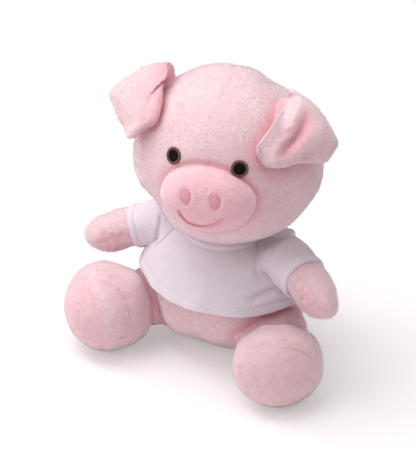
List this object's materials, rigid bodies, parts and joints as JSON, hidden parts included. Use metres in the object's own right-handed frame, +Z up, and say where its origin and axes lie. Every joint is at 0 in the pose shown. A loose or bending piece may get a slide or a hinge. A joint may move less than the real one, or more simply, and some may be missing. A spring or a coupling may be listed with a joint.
{
  "type": "plush toy",
  "caption": "Seated soft plush pig with floppy folded ears, an embroidered snout and eyes, and a short white T-shirt.",
  "frame": {"origin": "middle of the flat patch under the body, on the surface that the pig sits on", "axes": "+Z up, +X to the pig's left, -Y to the front, where its belly and feet point"},
  "size_m": [0.1944, 0.1385, 0.2033],
  "materials": {
    "plush": "short soft pile, matt",
    "plush_deep": "short soft pile, matt, deeper pink",
    "snout": "short soft pile, matt, deeper pink",
    "thread_pink": "satin stitch embroidery",
    "thread_brown": "satin stitch embroidery",
    "thread_black": "satin stitch embroidery",
    "jersey": "fine knitted jersey, matt",
    "filling": "loose polyester fibre",
    "beans": "cloth bag of small pellets"
  },
  "bodies": {
    "torso": {"body_skin": "plush", "body_filling": "filling", "bean_bag": "beans", "shirt_front": "jersey", "shirt_back": "jersey", "shirt_collar": "jersey"},
    "neck": {"neck_ring": "plush"},
    "head": {"head_skin": "plush", "head_filling": "filling", "snout_cover": "snout", "snout_filling": "filling", "nostril_left": "thread_pink", "nostril_right": "thread_pink", "mouth_thread": "thread_pink", "eye_ring_left": "thread_brown", "eye_ring_right": "thread_brown", "eye_pupil_left": "thread_black", "eye_pupil_right": "thread_black"},
    "ear_left": {"ear_back_left": "plush", "ear_lining_left": "plush_deep"},
    "ear_right": {"ear_back_right": "plush", "ear_lining_right": "plush_deep"},
    "arm_left": {"arm_skin_left": "plush", "arm_filling_left": "filling", "sleeve_left": "jersey"},
    "arm_right": {"arm_skin_right": "plush", "arm_filling_right": "filling", "sleeve_right": "jersey"},
    "leg_left": {"leg_skin_left": "plush", "sole_left": "plush", "leg_filling_left": "filling"},
    "leg_right": {"leg_skin_right": "plush", "sole_right": "plush", "leg_filling_right": "filling"},
    "tail": {"tail": "plush"}
  },
  "joints": [
    {"name": "neck_turn", "type": "hinge", "parent": "torso", "child": "neck", "pos_m": [0, 0, 0.066], "axis": [0, 0, 1], "range_deg": [-45, 15], "stiffness_Nm_per_rad": 0.02},
    {"name": "head_nod", "type": "hinge", "parent": "neck", "child": "head", "pos_m": [0, 0, 0.066], "axis": [0.9588, 0.284, 0], "range_deg": [-8, 3], "stiffness_Nm_per_rad": 0.6},
    {"name": "ear_flop_left", "type": "hinge", "parent": "head", "child": "ear_left", "pos_m": [0.03917, -0.01132, 0.1849], "axis": [0.2604, -0.8145, -0.5184], "range_deg": [0, 30], "stiffness_Nm_per_rad": 0.02},
    {"name": "ear_flop_right", "type": "hinge", "parent": "head", "child": "ear_right", "pos_m": [-0.03124, -0.01828, 0.18539], "axis": [-0.2572, 0.9331, 0.2514], "range_deg": [0, 30], "stiffness_Nm_per_rad": 0.02},
    {"name": "arm_swing_left", "type": "hinge", "parent": "torso", "child": "arm_left", "pos_m": [0.038, 0.001, 0.08], "axis": [-1, 0, 0], "range_deg": [0, 75], "stiffness_Nm_per_rad": 0.04},
    {"name": "arm_swing_right", "type": "hinge", "parent": "torso", "child": "arm_right", "pos_m": [-0.038, 0.001, 0.08], "axis": [-1, 0, 0], "range_deg": [0, 75], "stiffness_Nm_per_rad": 0.04},
    {"name": "leg_swing_left", "type": "hinge", "parent": "torso", "child": "leg_left", "pos_m": [0.031, -0.011, 0.0285], "axis": [-1, 0, 0], "range_deg": [-12, 15], "stiffness_Nm_per_rad": 0.12},
    {"name": "leg_swing_right", "type": "hinge", "parent": "torso", "child": "leg_right", "pos_m": [-0.031, -0.011, 0.0285], "axis": [-1, 0, 0], "range_deg": [-12, 15], "stiffness_Nm_per_rad": 0.12},
    {"name": "tail_wag", "type": "hinge", "parent": "torso", "child": "tail", "pos_m": [0, 0.04752, 0.036], "axis": [0, 0, 1], "range_deg": [-20, 20], "stiffness_Nm_per_rad": 0.002}
  ]
}
